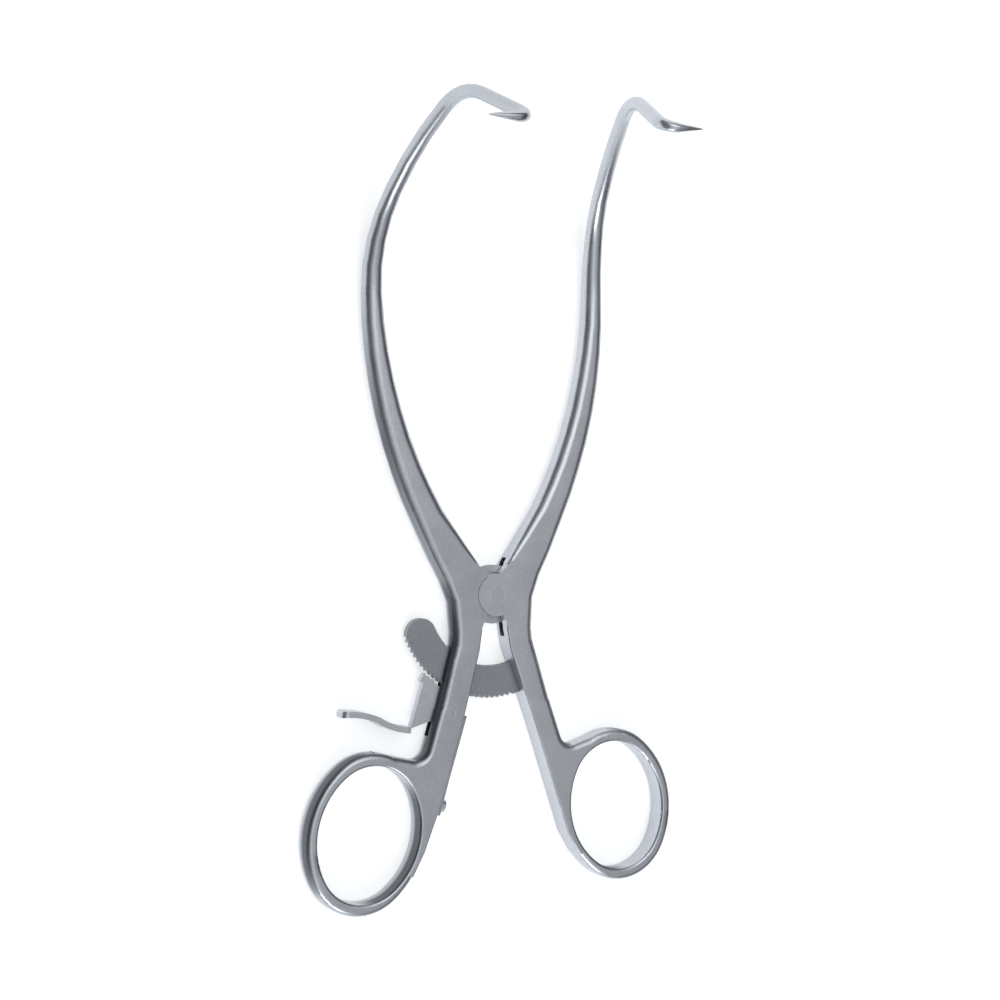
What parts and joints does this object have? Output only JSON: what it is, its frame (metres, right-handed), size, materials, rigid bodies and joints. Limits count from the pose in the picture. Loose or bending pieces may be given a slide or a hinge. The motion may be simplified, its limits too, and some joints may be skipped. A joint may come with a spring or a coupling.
{
  "type": "self retaining retractor",
  "caption": "Hinged surgical spreader whose bowed arms rise to small sharp outward points, with finger rings and a ratchet rack held by a sprung release lever.",
  "frame": {"origin": "on the pivot pin's axis, in the plane that the limbs' flat back faces lie in", "axes": "+X towards the right limb, +Y from the rings to the pointed tips, +Z from the flat back faces to the front, the way the tips rise"},
  "size_m": [0.0943, 0.1784, 0.0543],
  "materials": {
    "satin_steel": "satin",
    "blasted_steel": "matte",
    "spring_steel": "satin"
  },
  "bodies": {
    "left_side": {"left_limb": "satin_steel", "lever_pin": "satin_steel", "leaf_spring": "spring_steel", "spring_screw": "satin_steel"},
    "right_side": {"right_limb": "satin_steel", "pivot_pin": "satin_steel", "ratchet_rack": "blasted_steel", "rack_rivet_upper": "satin_steel", "rack_rivet_lower": "satin_steel"},
    "lever": {"release_lever": "satin_steel"}
  },
  "joints": [
    {"name": "box_joint", "type": "hinge", "parent": "left_side", "child": "right_side", "pos_m": [0, 0, 0.0023], "axis": [0, 0, -1], "range_deg": [-16.25, 29.25]},
    {"name": "lever_joint", "type": "hinge", "parent": "left_side", "child": "lever", "pos_m": [-0.01111, -0.02612, 0.0023], "axis": [0, 0, 1], "range_deg": [-5.6, 6], "stiffness_Nm_per_rad": 0.02, "springref_deg": -8.59, "deforming": ["leaf_spring"]}
  ]
}
